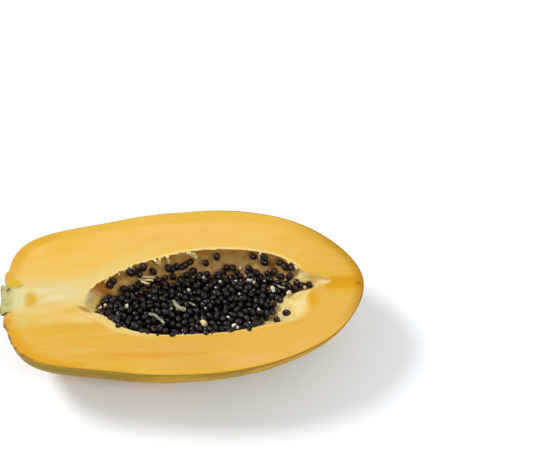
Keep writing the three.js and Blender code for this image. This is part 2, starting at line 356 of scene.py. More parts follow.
def cavity_point(turn, share, inset=0.0):
    """A point of the cavity's wall, by its turn and its share of the way from the middle to the rim."""
    rim_x, rim_y = cavity_rim(turn, inset)
    x = CAVITY_X + (rim_x - CAVITY_X) * share
    y = CAVITY_Y + (rim_y - CAVITY_Y) * share
    depth = (CAVITY_DEPTH - inset) * np.maximum(0, 1 - share**2) ** wall_power(turn)
    ridge = RIDGE_HEIGHT * np.cos(LOBES * (np.arctan2(depth, y) - LOBE_TURN)) * np.minimum(
        1, depth / RIDGE_START
    )
    return np.stack([x, y, FACE_Z - depth + ridge], -1)


def corner(start, middle, end, share):
    """A point of the round that replaces the corner at middle."""
    share = share[:, None]
    return (1 - share) ** 2 * start + 2 * share * (1 - share) * middle + share**2 * end


# The sphere's rings run from the underside up the skin, in over the cut face and down the wall.
zones = np.cumsum([0, SKIN_STEPS, EDGE_STEPS, FACE_STEPS, RIM_STEPS, WALL_STEPS])
bpy.ops.object.select_all(action="DESELECT")
bpy.ops.mesh.primitive_uv_sphere_add(segments=ROUND_STEPS, ring_count=int(zones[-1]), radius=1)
fruit = bpy.context.object
fruit.name = "papaya_half"
ball = np.empty(len(fruit.data.vertices) * 3)
fruit.data.vertices.foreach_get("co", ball)
ball = ball.reshape(-1, 3)
ring = np.round(np.arccos(np.clip(-ball[:, 2], -1, 1)) / math.pi * zones[-1])
turn = np.arctan2(ball[:, 1], ball[:, 0])
ring_share = [np.clip((ring - low) / (high - low), 0, 1) for low, high in zip(zones, zones[1:])]

face_outer = skin_point(turn, 0.0)
rim_x, rim_y = cavity_rim(turn)
face_inner = np.stack([rim_x, rim_y, np.full_like(rim_x, FACE_Z)], -1)
inward = face_inner - face_outer
face_width = np.linalg.norm(inward, axis=1)
inward /= face_width[:, None]
rim_edge = RIM_EDGE + LIP_EDGE * bell(angle_from(turn, LIP_AT), LIP_SPREAD)

edge_down = SKIN_EDGE / DEPTH
points = skin_point(turn, edge_down + (1 - ring_share[0]) * (math.pi / 2 - edge_down))
edge = corner(skin_point(turn, edge_down), face_outer, face_outer + SKIN_EDGE * inward, ring_share[1])
points = np.where((ring > zones[1])[:, None], edge, points)
across_face = SKIN_EDGE + (face_width - SKIN_EDGE - rim_edge) * ring_share[2]
points = np.where((ring > zones[2])[:, None], face_outer + across_face[:, None] * inward, points)
wall_start = np.sqrt(1 - (rim_edge / CAVITY_DEPTH) ** (1 / wall_power(turn)))
wall_angle = np.arccos(wall_start)
rim_start = face_inner - rim_edge[:, None] * inward
rim_round = corner(rim_start, face_inner, cavity_point(turn, wall_start), ring_share[3])
points = np.where((ring > zones[3])[:, None], rim_round, points)
wall_share = np.cos(wall_angle + (math.pi / 2 - wall_angle) * ring_share[4])
wall_share = np.where(ring == zones[5], 0, wall_share)
points = np.where((ring > zones[4])[:, None], cavity_point(turn, wall_share), points)

skin_part = ring <= zones[1]
wall_part = ring >= zones[4]
face_part = ~skin_part & ~wall_part
from_skin = np.where(skin_part, 0, np.linalg.norm((points - face_outer)[:, :2], axis=1))
from_rim = np.linalg.norm(points - face_inner, axis=1)
rim_signed = np.where(ring_share[3] > 0.5, -from_rim, from_rim)  # below 0 on the wall

# The seam sinks between two soft swellings of flesh.
seam_share = np.clip((points[:, 0] - SEAM_START_X) / SEAM_START_LENGTH, 0, 1) * face_part
seam_share *= np.clip((SEAM_END_X - points[:, 0]) / SEAM_END_LENGTH, 0, 1)
swelling = bell(np.abs(points[:, 1]) - SWELLING_OFF, SWELLING_WIDTH)
points[:, 2] -= seam_share * SEAM_DEPTH * bell(points[:, 1], SEAM_WIDTH)
points[:, 2] += seam_share * SWELLING_HEIGHT * swelling


def lumps(places, size, stretch=(1, 1, 1)):
    """Soft random lumps from -1 to 1 at each place."""
    scaled = places / (size * np.array(stretch))
    return np.array([noise.noise(Vector(p)) for p in scaled])


# The rim is torn where the seeds hung on it, most of all on the far side near the stem.
torn = RAGGED * (RAGGED_ELSEWHERE + bell(angle_from(turn, RAGGED_AT), RAGGED_SPREAD))
torn *= lumps(face_inner, RAGGED_SIZE) * np.clip(1 - from_rim / RAGGED_REACH, 0, 1) ** 2
points += (torn * ~skin_part)[:, None] * inward

# The four small lobes of flesh that stand round the stem.
COLLAR_TURNS = np.radians([8, 64, 118, 172])
COLLAR_RADIUS = 0.0156
COLLAR_HEIGHT = 0.0022
COLLAR_SIZE = 0.0058
COLLAR_STEEPNESS = 1.6
COLLAR_REACH = 0.006  # how far in from the skin each lobe shows in the cut face
COLLAR_END_X = -0.1
for collar in COLLAR_TURNS:
    middle = np.array([COLLAR_RADIUS * math.cos(collar), FACE_Z - COLLAR_RADIUS * math.sin(collar)])
    off = np.linalg.norm(points[:, 1:] - middle, axis=1)
    swell = np.clip(COLLAR_STEEPNESS * (1 - (off / COLLAR_SIZE) ** 2), 0, 1)
    swell *= points[:, 0] < COLLAR_END_X
    points[:, 0] -= COLLAR_HEIGHT * swell * np.clip(1 - from_skin / COLLAR_REACH, 0, 1)

fruit.data.vertices.foreach_set("co", points.ravel())
fruit.data.update()
normals = np.empty(len(points) * 3)
fruit.data.vertices.foreach_get("normal", normals)
normals = normals.reshape(-1, 3)
# Broad shallow waves in the skin and the cut face, and a knobbly wall with folds down from the rim.
waves = -SKIN_WAVES * (1 + lumps(points, 0.014, (2, 1, 1))) * skin_part * (points[:, 2] > FLAT_SPOT)
waves += FACE_WAVES * lumps(points, 0.012, (3, 1, 1)) * face_part
wall_lumps = sum(height * lumps(points, size) for height, size in WALL_KNOBS)
round_rim = np.stack([turn * CAVITY_HALF_LENGTH, 0 * turn, 0 * turn], -1)
wall_lumps += WALL_FOLD_HEIGHT * lumps(round_rim, WALL_FOLD_SIZE)
waves += wall_lumps * wall_part * np.clip(from_rim / WALL_LUMPS_START, 0, 1)
points += normals * waves[:, None]
points = np.clip(points, np.array(cad_box[0]), np.array(cad_box[1]))
fruit.data.vertices.foreach_set("co", points.ravel())
for name, values in (("from_skin", from_skin), ("from_rim", rim_signed)):
    fruit.data.attributes.new(name, "FLOAT", "POINT").data.foreach_set("value", values)
fruit.data.update()

flesh = Finish("flesh", gloss=0.018)
x, y, z = (flesh.node("SeparateXYZ", (), {0: flesh.place()}, axis) for axis in "XYZ")
skin_far = flesh.measure("from_skin")
rim_far = flesh.measure("from_rim")
cloud = flesh.noise(0.02, (2.5, 1, 1), detail=3.0, distortion=0.4)
blotch = flesh.noise(0.011, (2.2, 1, 1), detail=4.0, distortion=0.8)
streak = flesh.noise(0.0032, (9, 1, 1), detail=4.0, distortion=0.3)
fine = flesh.noise(0.0016, (3, 1, 1), detail=4.0)
upper = (y + cloud * 0.01).over(-0.012, 0.016)
lower = 1 - upper
drift = skin_far + cloud * 0.007

# Golden flesh, deeper in colour under the skin, and peach half way to the cavity. It is lighter towards the
# far side and darker towards the low side and the blossom end: partly the flesh's own colour and partly
# painted light.
colour = flesh.mix(upper, (234, 185, 74), (246, 200, 94))
peach = drift.near(0.0235, 0.014) * x.near(-0.002, 0.08)
colour = flesh.mix(peach * 0.9, colour, flesh.mix(upper, (234, 180, 82), (244, 195, 106)))
bright = drift.near(0.0165, 0.005) * upper * x.near(-0.02, 0.08)
colour = flesh.mix(bright * 0.7, colour, (249, 201, 98))
under_skin = flesh.mix(upper, (236, 187, 72), (237, 191, 74))
colour = flesh.mix(drift.over(0.0135, 0.0095) * 0.9, colour, under_skin)
colour = flesh.mix(x.over(0.045, 0.1) * 0.85, colour, (232, 184, 74))
colour = flesh.mix(blotch.over(0.5, 0.72) * 0.35, colour, (240, 186, 62))
colour = flesh.mix(blotch.over(0.48, 0.3) * 0.3, colour, (246, 204, 112))
colour = flesh.mix(streak.over(0.52, 0.72) * 0.22, colour, (236, 180, 58))
colour = flesh.mix(streak.over(0.46, 0.28) * 0.18, colour, (249, 208, 112))
low_gold = rim_far.over(0.0065, 0.002) * lower
colour = flesh.mix(low_gold * 0.8, colour, (233, 182, 62))

# Orange under the skin of the shoulders, and the orange streaks along the low side.
shoulder = drift.over(0.0135, 0.0075) * x.over(-0.05, -0.09)
colour = flesh.mix(shoulder * 0.85, colour, flesh.mix(upper, (233, 171, 40), (233, 175, 46)))
low_edge = drift.over(0.012, 0.0045) * lower * x.over(-0.03, -0.07)
colour = flesh.mix(low_edge * 0.95, colour, (231, 170, 34))
band = (skin_far + cloud * 0.006 + streak * 0.002).near(0.0186, 0.0034) * x.near(-0.025, 0.055)
colour = flesh.mix(band * lower * 0.9, colour, (233, 168, 54))
band = (skin_far + cloud * 0.005).near(0.0135, 0.0028) * x.near(-0.052, 0.03)
colour = flesh.mix(band * lower * 0.6, colour, (232, 172, 72))
band = (skin_far + cloud * 0.006).near(0.0105, 0.005) * x.near(0.012, 0.05)
colour = flesh.mix(band * lower * 0.8, colour, (234, 178, 90))

# Paler flesh along the low side of the blossom end, and plainer streaks on the low shoulder.
colour = flesh.mix(lower * x.over(0.012, 0.05) * 0.55, colour, (243, 190, 90))
low_tip = skin_far.over(0.0075, 0.001) * x.over(0.04, 0.08) * lower
colour = flesh.mix(low_tip * 0.7, colour, (238, 188, 84))
low_shoulder = lower * x.over(-0.02, -0.06)
colour = flesh.mix(streak.over(0.5, 0.62) * low_shoulder * 0.4, colour, (236, 170, 50))
colour = flesh.mix(streak.over(0.46, 0.36) * low_shoulder * 0.35, colour, (240, 192, 104))

# The cream fibres that fan out from the stalk and line the cavity.
core = y - 0.001 + streak * 0.006 - cloud * 0.008 + (x + 0.06) * 0.025
halo = core.near(0.0, 0.027) * x.over(-0.035, -0.065)
colour = flesh.mix(halo * 0.9, colour, (241, 202, 114))
fan = core.near(0.0002, 0.0148) * x.over(-0.045, -0.066) * x.over(-0.113, -0.104)
cream = flesh.mix(streak.over(0.38, 0.62), (236, 214, 146), (240, 225, 172))
colour = flesh.mix(fan, colour, cream)
lining = (rim_far + streak * 0.004).over(0.018, 0.004) * x.over(0.0, -0.05) * y.over(-0.002, 0.006)
colour = flesh.mix(lining * 0.85, colour, (242, 214, 134))
low_lining = (rim_far + streak * 0.0024 + x * 0.09).over(0.0042, 0.0008)
low_lining = low_lining * x.over(-0.008, -0.03) * y.over(0.0, -0.006)
colour = flesh.mix(low_lining, colour, (240, 210, 128))

# The seam: deep gold from the cavity's point to the flower's scar, with painted shade below it, a deeper
# and slightly darker gold on its low side where the flesh swells.
seam = (y + cloud * 0.0014 - 0.0009).near(0.0, 0.0078) * x.over(0.087, 0.096)
colour = flesh.mix(seam.over(0.0, 0.6), colour, (228, 170, 0))
# painted shade on the low side of the seam
colour = flesh.mix(y.near(-0.0055, 0.004) * x.over(0.09, 0.1) * 0.6, colour, (238, 187, 56))

# Marks of their own: middle, half size in millimetres, turn in degrees, softness, strength, colour.
MARKS = (
    ((-99, -9), (9, 6.5), 12, 0.9, 0.7, (236, 212, 132)),  # pale flesh round the root of the stalk
    ((-96.2, -0.8), (6.4, 8), 0, 0.7, 1.0, (230, 184, 70)),  # a golden bundle of fibres cut across
    ((-89.5, 0.5), (7, 3.8), 8, 0.9, 0.7, (236, 205, 108)),
    ((-82, -14.5), (24, 8), 8, 0.9, 0.85, (241, 205, 112)),  # the pale edge of the core
    ((-66, -16), (15, 5), -10, 0.9, 0.85, (243, 211, 132)),
    ((-90, -9.5), (14, 3.6), 6, 0.9, 0.7, (240, 216, 136)),
    ((-71, -10.4), (8, 2.2), 6, 0.9, 0.8, (238, 192, 72)),
    ((-72, 38), (30, 10), 8, 1.0, 0.8, (242, 193, 72)),  # deeper gold on the far shoulder
    # painted shade: the darker brown of the split in the core
    ((-61.8, -9.8), (7.6, 2.3), -27, 0.7, 0.95, (192, 142, 56)),  # where the core has split
    ((-104, -1.5), (6, 12.5), 0, 0.8, 0.95, (231, 219, 158)),
    ((-101.5, -16), (9, 7), 0, 0.9, 0.85, (232, 204, 114)),
    ((-110.5, 16.4), (4.6, 7), 0, 0.9, 0.85, (233, 172, 44)),  # the lobes round the stem
    ((-107, 11), (6.8, 4.4), 4, 0.7, 0.95, (230, 186, 36)),
    ((-103.4, 9), (4.4, 1.5), 24, 0.8, 0.75, (184, 158, 62)),
    ((-110.8, -16.6), (4.6, 6), -10, 0.9, 0.85, (230, 160, 42)),
    ((-105.5, -18), (4.5, 4.5), 0, 0.9, 0.6, (238, 190, 88)),
    # painted shade: the tan line along the crease over the cavity's point
    ((86.5, 6.2), (8, 1.3), -32, 0.8, 0.75, (212, 176, 84)),  # the crease over the cavity's point
    ((82, -10), (5.6, 9), 10, 0.9, 1.0, (234, 174, 20)),
    ((70, -26), (11, 3.6), 32, 0.9, 0.7, (233, 178, 58)),
    ((73, -42), (15, 5), 27, 0.9, 0.8, (241, 192, 100)),
    ((42, -50), (26, 6), 8, 1.0, 0.8, (242, 192, 112)),
    ((113.4, -1), (4.2, 2.1), -25, 0.8, 1.0, (104, 70, 34)),  # the flower's scar
    ((-64, 47.4), (5, 0.5), 4, 0.9, 0.5, (252, 226, 160)),  # a scratch of the knife
)
for middle, half_size, degrees, soft, strength, paint in MARKS:
    colour = flesh.mix(flesh.patch(middle, half_size, degrees, soft) * strength, colour, paint)

# The cut edge of the skin: a thin dark line, broad and brown at the blossom end, scuffed at the stem.
tip_rind = skin_far.over(0.0085, 0.0) * x.over(0.066, 0.104) * y.over(-0.034, -0.008)
colour = flesh.mix(tip_rind * 0.9, colour, (196, 140, 36))
colour = flesh.mix(skin_far.over(0.0011, 0.0005) * x.over(-0.02, 0.05) * 0.8, colour, (158, 106, 28))
colour = flesh.mix(skin_far.over(0.0012, 0.0004) * x.over(0.02, -0.05) * 0.5, colour, (190, 146, 46))
scuffed = skin_far.over(0.0024, 0.0004) * x.over(-0.08, -0.1) * y.over(-0.012, -0.02) * fine.over(0.35, 0.6)
colour = flesh.mix(scuffed * 0.9, colour, (122, 92, 52))

# The wall: tan with lighter and darker mottling, lighter near the rim, with painted shade in orange-brown
# patches near the top of the far wall, and cream at the lip, on the slope and along the rim.
on_slope = (x - y * 1.3 + cloud * 0.008 + 0.001).over(0.058, 0.07)
depth = FACE_Z - z
wall_mottle_and_shade = flesh.noise(0.006, (1, 1, 2.4), detail=4.0, distortion=0.6)
wall = flesh.mix(wall_mottle_and_shade.over(0.35, 0.65), (228, 172, 104), (196, 142, 74))
wall = flesh.mix(depth.over(0.012, 0.002) * 0.5, wall, (244, 188, 108))
wall = flesh.mix(wall_mottle_and_shade.over(0.3, 0.16) * 0.6, wall, (250, 210, 138))
wall = flesh.mix(depth.over(0.0065, 0.0105) * 0.4, wall, (234, 198, 124))
# painted shade: orange-brown patches near the top of the wall, and a larger one on the far wall towards the
# blossom end
wall = flesh.mix(depth.over(0.009, 0.003) * wall_mottle_and_shade.over(0.56, 0.4) * 0.8, wall, (206, 132, 46))
wall = flesh.mix(flesh.patch((64, 21), (14, 7), -25, 0.5) * wall_mottle_and_shade.over(0.6, 0.42), wall, (196, 116, 32))
lip = x.over(-0.036, -0.05) * y.over(0.0065, 0.0015)
wall = flesh.mix(x.over(-0.036, -0.046) * wall_mottle_and_shade.over(0.4, 0.55) * 0.85, wall, (200, 132, 56))
wall = flesh.mix(lip * 0.9, wall, flesh.mix(wall_mottle_and_shade.over(0.62, 0.42), (246, 202, 92), (280, 242, 132)))
wall = flesh.mix(lip * depth.over(0.012, 0.003), wall, (258, 234, 172))
slope = flesh.mix(wall_mottle_and_shade.over(0.3, 0.7), (254, 230, 160), (238, 202, 114))
wall = flesh.mix(on_slope, wall, flesh.mix(y.over(0.006, 0.014) * 0.7, slope, (236, 204, 130)))
near_rim = (rim_far + fine * 0.0008).over(0.0022, 0.001) * y.over(-0.008, -0.014) * x.over(0.05, 0.02)
colour = flesh.mix(near_rim * 0.75, colour, (250, 220, 140))
slope_rim = rim_far.over(0.0032, 0.0002) * y.over(-0.006, -0.014) * x.over(0.02, 0.05)
colour = flesh.mix(slope_rim * 0.8, colour, (245, 208, 112))
far_rim = rim_far.over(0.0021, 0.0008) * y.over(-0.002, 0.006) * (1 - on_slope)
colour = flesh.mix(far_rim * 0.9, colour, (254, 226, 146))
colour = flesh.mix((rim_far - x.over(-0.03, -0.05) * 0.0006).over(-0.0001, -0.0009), colour, wall)
fruit.data.materials.append(
    flesh.surface(
        base_color=colour,
        roughness=0.45,
        specular_ior_level=0.22,
        subsurface_weight=0.12,
        subsurface_radius=(0.004, 0.002, 0.0006),
        subsurface_scale=1.0,
        normal=flesh.relief(fine, 0.0002),
    )
)

# Golden skin with green patches, scuffs and freckles, bruised and darker near the cut.
skin = Finish("skin", gloss=0.016)
edge_x, edge_z = (skin.node("SeparateXYZ", (), {0: skin.place()}, axis) for axis in "XZ")
mottle = skin.noise(0.016, (1.8, 1, 1), detail=5.0, roughness=0.65)
green = skin.noise(0.04, (1.8, 1, 1), detail=3.0)
scuffs = skin.noise(0.0022, (14, 1, 1), detail=3.0)
pores = skin.noise(0.0014, detail=1.0)
speckle = skin.noise(0.0019, (2.2, 1, 1), detail=5.0, roughness=0.75)
hide = skin.mix(mottle.over(0.3, 0.7), (236, 186, 50), (212, 156, 26))
hide = skin.mix((green + mottle * 0.3).over(0.62, 0.86) * 0.8, hide, (172, 148, 44))
hide = skin.mix(scuffs.over(0.66, 0.78) * mottle.over(0.4, 0.6) * 0.6, hide, (142, 104, 40))
hide = skin.mix(pores.over(0.68, 0.76) * 0.7, hide, (122, 88, 32))
bruised = speckle.over(0.4, 0.66) * edge_z.over(0.046, 0.0555) * edge_x.over(0.03, -0.07)
hide = skin.mix(bruised * 0.9, hide, (104, 92, 36))
olive = edge_z.over(0.02, 0.042) * edge_x.over(0.01, -0.05) * mottle.over(0.2, 0.45)
hide = skin.mix(olive * 0.75, hide, (150, 126, 20))
hide = skin.mix(edge_z.over(0.0495, 0.054) * edge_x.over(-0.01, -0.05) * 0.6, hide, (214, 168, 40))
hide = skin.mix(edge_z.over(0.046, 0.054) * edge_x.over(0.0, 0.04) * 0.6, hide, (176, 122, 34))
cut_edge = edge_z.over(0.0525, 0.0558) * (0.7 - edge_x.over(-0.02, -0.05) * 0.35)
browned = skin.mix(speckle.over(0.35, 0.65), (156, 112, 34), (84, 68, 32))
hide = skin.mix(cut_edge, hide, browned)
fruit.data.materials.append(
    skin.surface(
        base_color=hide,
        roughness=0.5,
        specular_ior_level=0.08,
        normal=skin.relief(mottle, 0.0004),
    )
)

ring_of = np.array([min(ring[v] for v in p.vertices) for p in fruit.data.polygons])
fruit.data.polygons.foreach_set("material_index", (ring_of < zones[1] + 1).astype(int))
bpy.ops.object.shade_smooth()

# The stem stub's own round shape, grown by a hair, cuts its seat in the flesh.
STUB_TIP_X = -0.1156
STUB_RADIUS = 0.0104
# The stub's outline: how far in from its tip, and the share of its radius there.
STUB_IN = np.array([0.9, 0.1, 0.3, 1.2, 4.4, 7.5, 10.6, 11.8]) / 1000
STUB_SHARE = np.array([0, 0.78, 0.93, 1, 0.94, 0.86, 0.6, 0])
STUB_SIDES = 96
STUB_RINGS = 40
SEAT_GAP = 0.00003


def stub_round(gap):
    """The stub before the cut: a ball whose rings are set along the outline of the stub."""
    bpy.ops.object.select_all(action="DESELECT")
    bpy.ops.mesh.primitive_uv_sphere_add(segments=STUB_SIDES, ring_count=STUB_RINGS, radius=1)
    shape = bpy.context.object
    lengths = np.hypot(np.diff(STUB_IN), np.diff(STUB_SHARE) * STUB_RADIUS)
    steps = np.concatenate([[0], np.cumsum(lengths)])
    steps /= steps[-1]
    for vertex in shape.data.vertices:
        step = math.acos(max(-1, min(1, vertex.co.z))) / math.pi
        round_turn = math.atan2(vertex.co.y, vertex.co.x) + math.pi / STUB_SIDES
        share = np.interp(step, steps, STUB_SHARE)
        radius = STUB_RADIUS * share + gap * min(1, share * 4)
        inward_x = np.interp(step, steps, STUB_IN) + gap * (2 * step - 1)
        vertex.co = (
            STUB_TIP_X + inward_x,
            radius * math.cos(round_turn),
            FACE_Z - radius * math.sin(round_turn),
        )
    return shape


cutter = stub_round(SEAT_GAP)
bpy.ops.object.mode_set(mode="EDIT")
bpy.ops.mesh.select_all(action="SELECT")
bpy.ops.mesh.normals_make_consistent(inside=False)
bpy.ops.object.mode_set(mode="OBJECT")
bpy.ops.object.select_all(action="DESELECT")
fruit.select_set(True)
bpy.context.view_layer.objects.active = fruit
seat = fruit.modifiers.new("seat", "BOOLEAN")
seat.object = cutter
seat.operation = "DIFFERENCE"
seat.solver = "EXACT"
bpy.ops.object.modifier_apply(modifier=seat.name)
bpy.data.objects.remove(cutter)
bpy.ops.object.shade_smooth_by_angle(angle=math.radians(50))
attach(fruit, "root")
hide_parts("fruit_half")

# ---- The seed heap ----
# Several hundred dark seeds, each an egg in a wet glossy sac, heaped in the cavity: high against the
# near rim and falling away from the far one. Each lies in the lowest place that it finds.

SEED_LENGTH = 0.0031  # half sizes
SEED_WIDTH = 0.0023
SEED_THICKNESS = 0.002
SEED_SIDES = 10
SEED_RINGS = 7
SEED_SIZES = (0.82, 1.12)
SEED_NESTLE = 0.94  # the share of their width at which two seeds meet
SEED_COVER = SEED_WIDTH * 0.5  # how far under the heap's top the middle of a seed stays
HEAP_TOP = 0.0004
HEAP_HIGH_SIDE = -0.0285
HEAP_REACH = 0.075
HEAP_FALL = 0.74
HEAP_FALL_POWER = 1.3
# Where the heap runs out: the turn in degrees, the distance and the height there.
HEAP_TOES = np.array([(-51, 0.0452, 0.047), (190, 0.066, 0.0435), (131, 0.0425, 0.0445)])
TOE_RISE = 0.9
HOLLOW = (-0.0455, 0.009, 0.0038)  # where the heap leaves the wall bare: place and radius
HOLLOW_HEIGHT = 0.0445
HEAP_DEPTH = 0.0125  # of the seeds that are laid; what lies under them never shows
RISE_OUTSIDE = 0.5  # of the ground outside the rim, which keeps the seeds in
SOWING_AREA = ((-0.062, -0.032), (0.084, 0.03))
TRIES = 4600
CHOICES = 10
CHOICE_SPREAD = 0.004

round_turns = np.linspace(0, 2 * math.pi, 721)[:-1]


def polar_rim(inset):
    """The rim by the angle round the cavity's middle: the angles, how far off, and the turns."""
    rim_x, rim_y = cavity_rim(round_turns, inset)
    around = np.arctan2(rim_y - CAVITY_Y, rim_x - CAVITY_X)
    order = np.argsort(around)
    return around[order], np.hypot(rim_x - CAVITY_X, rim_y - CAVITY_Y)[order], round_turns[order]


def wall_height(x, y, inset=0.0):
    """The height of the cavity's wall, raised by inset for something that lies on it."""
    around, reach, turns = polar_rim(inset)
    angle = np.arctan2(y - CAVITY_Y, x - CAVITY_X)
    share = np.hypot(x - CAVITY_X, y - CAVITY_Y) / np.interp(angle, around, reach, period=2 * math.pi)
    turn = turns[np.searchsorted(around, angle) % len(turns)]
    return cavity_point(turn, np.minimum(share, 1), inset)[..., 2] + np.maximum(0, share - 1) * RISE_OUTSIDE


def heap_height(x, y):
    """The heap's top: high along the near rim, falling to the far wall, and running out at its toes."""
    along = x - CAVITY_X
    high_side = HEAP_HIGH_SIDE * np.sqrt(np.maximum(0, 1 - (along / HEAP_REACH) ** 2))
    top = FACE_Z - HEAP_TOP - HEAP_FALL * np.maximum(0, y - high_side) ** HEAP_FALL_POWER
    for degrees, distance, height in HEAP_TOES:
        turn = math.radians(degrees)
        inside = distance - along * math.cos(turn) - (y - CAVITY_Y) * math.sin(turn)
        top = np.minimum(top, height + TOE_RISE * inside)
    outside = np.hypot(along + CAVITY_X - HOLLOW[0], y - HOLLOW[1]) - HOLLOW[2]
    return np.minimum(top, HOLLOW_HEIGHT + TOE_RISE * outside)


rng = np.random.default_rng(7)
seeds = np.zeros((0, 3))
seed_sizes = np.zeros(0)
for attempt in range(TRIES):
    size = rng.uniform(*SEED_SIZES)
    start = rng.uniform(*SOWING_AREA)
    spots = start + rng.uniform(-CHOICE_SPREAD, CHOICE_SPREAD, (CHOICES, 2))
    top = heap_height(spots[:, 0], spots[:, 1])
    height = np.maximum(wall_height(spots[:, 0], spots[:, 1], SEED_WIDTH), top - HEAP_DEPTH)
    if len(seeds):
        reach = (seed_sizes[None] + size) * SEED_WIDTH * SEED_NESTLE
        off = np.linalg.norm(spots[:, None] - seeds[None, :, :2], axis=2)
        on_seed = seeds[None, :, 2] + np.sqrt(np.maximum(0, reach**2 - off**2))
        height = np.maximum(height, np.where(off < reach, on_seed, 0).max(1))
    best = np.argmin(height - top)
    if height[best] < top[best] - SEED_COVER:
        seeds = np.vstack([seeds, [*spots[best], height[best]]])
        seed_sizes = np.append(seed_sizes, size)

bpy.ops.object.select_all(action="DESELECT")
bpy.ops.mesh.primitive_uv_sphere_add(segments=SEED_SIDES, ring_count=SEED_RINGS, radius=1)
seed = bpy.context.object
seed.scale = (SEED_LENGTH, SEED_WIDTH, SEED_THICKNESS)
bpy.ops.object.transform_apply(location=False, rotation=False, scale=True)
bpy.ops.object.shade_smooth()

wet = Finish("wet_seed", gloss=0.008)
tone = wet.measure("tone")
sac = wet.noise(0.0012, detail=2.0)
dark = wet.mix(tone, (33, 28, 28), (50, 40, 39))
dark = wet.mix(sac.over(0.55, 0.8) * 0.3, dark, (74, 62, 60))
seed.data.materials.append(
    wet.surface(
        base_color=dark,
        roughness=0.15,
        specular_ior_level=0.34,
        normal=wet.relief(sac, 0.0003),
    )
)


def sown(pattern, places, sizes, turns):
    """Copies of one seed, each placed, sized and turned, and with its own tone, joined in one mesh."""
    copies = []
    for place, size, turn in zip(places, sizes, turns):
        copy = pattern.copy()
        copy.data = pattern.data.copy()
        copy.data.transform(Matrix.LocRotScale(Vector(place), turn, Vector((size,) * 3)))
        tones = np.full(len(copy.data.vertices), rng.uniform())
        copy.data.attributes.new("tone", "FLOAT", "POINT").data.foreach_set("value", tones)
        bpy.context.collection.objects.link(copy)
        copies.append(copy)
    bpy.ops.object.select_all(action="DESELECT")
    for copy in copies:
        copy.select_set(True)
    bpy.context.view_layer.objects.active = copies[0]
    bpy.ops.object.join()
    return bpy.context.object


def random_turns(count):
    return [Euler(rng.uniform(0, math.tau, 3)).to_quaternion() for _ in range(count)]


heap = sown(seed, seeds, seed_sizes, random_turns(len(seeds)))
heap.name = "seed_heap"
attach(heap, "root")
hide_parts("seeds")

# ---- The lone seeds ----
# Seeds of the same kind outside the heap: the ones that fill it up to the near rim, pressed a little
# into the flesh, and the ones that still cling to the bare wall by their threads.

RIM_TRIES = 900
RIM_TURNS = (198, 304)  # in degrees
RIM_INSETS = (-0.0004, 0.0046)
RIM_HEIGHTS = (-0.0036, -0.001)  # from the cut face
RIM_SEED_SPACING = 0.0032
LONE_SIZES = (0.95, 1.12)
LONE_LIFT = SEED_WIDTH * 0.85  # from the wall, so that each is sunk a little in it

rim_places = []
for attempt in range(RIM_TRIES):
    near_x, near_y = cavity_rim(math.radians(rng.uniform(*RIM_TURNS)), rng.uniform(*RIM_INSETS))
    place = np.array([near_x, near_y, FACE_Z + rng.uniform(*RIM_HEIGHTS)])
    if np.linalg.norm(np.vstack([seeds, *rim_places]) - place, axis=1).min() > RIM_SEED_SPACING:
        rim_places.append(place)

# How far round the rim each lone one clings, in degrees, and how far out on the wall, 1 at the rim.
LONE_SEEDS = (
    (141, 0.991), (145, 0.979), (128, 0.995), (125, 0.993), (123, 0.973), (119, 0.995), (115, 0.947),
    (106, 0.935), (104, 0.905), (101, 0.928), (98, 0.911), (93, 0.955), (96, 0.932), (92, 0.822),
    (84, 0.924), (78, 0.98), (87, 0.715), (84, 0.703), (57, 0.989), (50, 0.995), (48, 0.962),
    (38, 0.988), (32, 0.978), (27, 0.992), (55, 0.864), (70, 0.85), (66, 0.856), (72, 0.787),
    (74, 0.734), (47, 0.818), (36, 0.893), (26, 0.88), (21, 0.92), (8, 0.842), (6, 0.873),
    (-31, 0.863), (-44, 0.95),
)  # fmt: skip
lone_turns = np.radians([degrees for degrees, _ in LONE_SEEDS])
lone_shares = np.array([share for _, share in LONE_SEEDS])
lone_places = np.vstack([cavity_point(lone_turns, lone_shares, LONE_LIFT), rim_places])
lone_sizes = rng.uniform(*LONE_SIZES, len(lone_places))
lone = sown(seed, lone_places, lone_sizes, random_turns(len(lone_places)))
lone.name = "lone_seeds"
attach(lone, "root")
bpy.data.objects.remove(seed)

# ---- The unripe seeds ----
# Seeds that never ripened, small, cream and a little crumpled. They lie among the dark ones, held
# by the wet sacs round them.

PALE_LENGTH = 0.0021  # half sizes
PALE_WIDTH = 0.0014
PALE_THICKNESS = PALE_WIDTH * 0.8
PALE_LIFT = PALE_WIDTH * 0.9
PALE_TOP = FACE_Z - 0.0008
# Each by its place on the heap in millimetres, and its size.
PALE_SEEDS = (
    (-49.5, -4, 0.95), (-53, -4.9, 0.68), (-35.7, -6.7, 0.89), (3.7, 5, 0.94), (-4.5, 3.2, 0.77),
    (13.4, 15.2, 0.68), (24.4, 10.3, 0.64), (-5.9, -18.2, 0.59), (-17.1, -9.4, 0.47), (-7.4, -9.2, 0.47),
    (8.5, -25, 0.51), (18.4, -28.2, 0.68), (31.3, -26, 1), (37.5, 22.5, 0.72), (34.1, 11.1, 0.55),
    (42.7, 9.9, 0.77), (46.4, 9.2, 0.77), (21.1, 5.3, 0.42), (38.5, -1.2, 1), (57.5, 1.2, 1.1),
    (67.8, -3.6, 1.1), (78.1, 1.2, 0.68), (33.4, -27.4, 0.68), (40.7, -24, 0.77), (47.7, -14.9, 0.59),
    (28.1, -18.9, 0.55), (-43.3, -17, 0.55), (-32.7, -20.5, 0.64), (-7.6, -30, 0.51), (-0.4, -29.8, 0.51),
    (5.9, -30.8, 0.42), (24.5, -26.5, 0.51), (44.5, 10.8, 0.51), (36.2, 0.6, 0.51), (59.4, 2.2, 0.51),
    (66.4, -5.2, 0.59), (29.6, -14.6, 0.34), (14.2, -11.8, 0.34), (-24.6, -2.2, 0.34), (52.6, 8.4, 0.34),
)  # fmt: skip


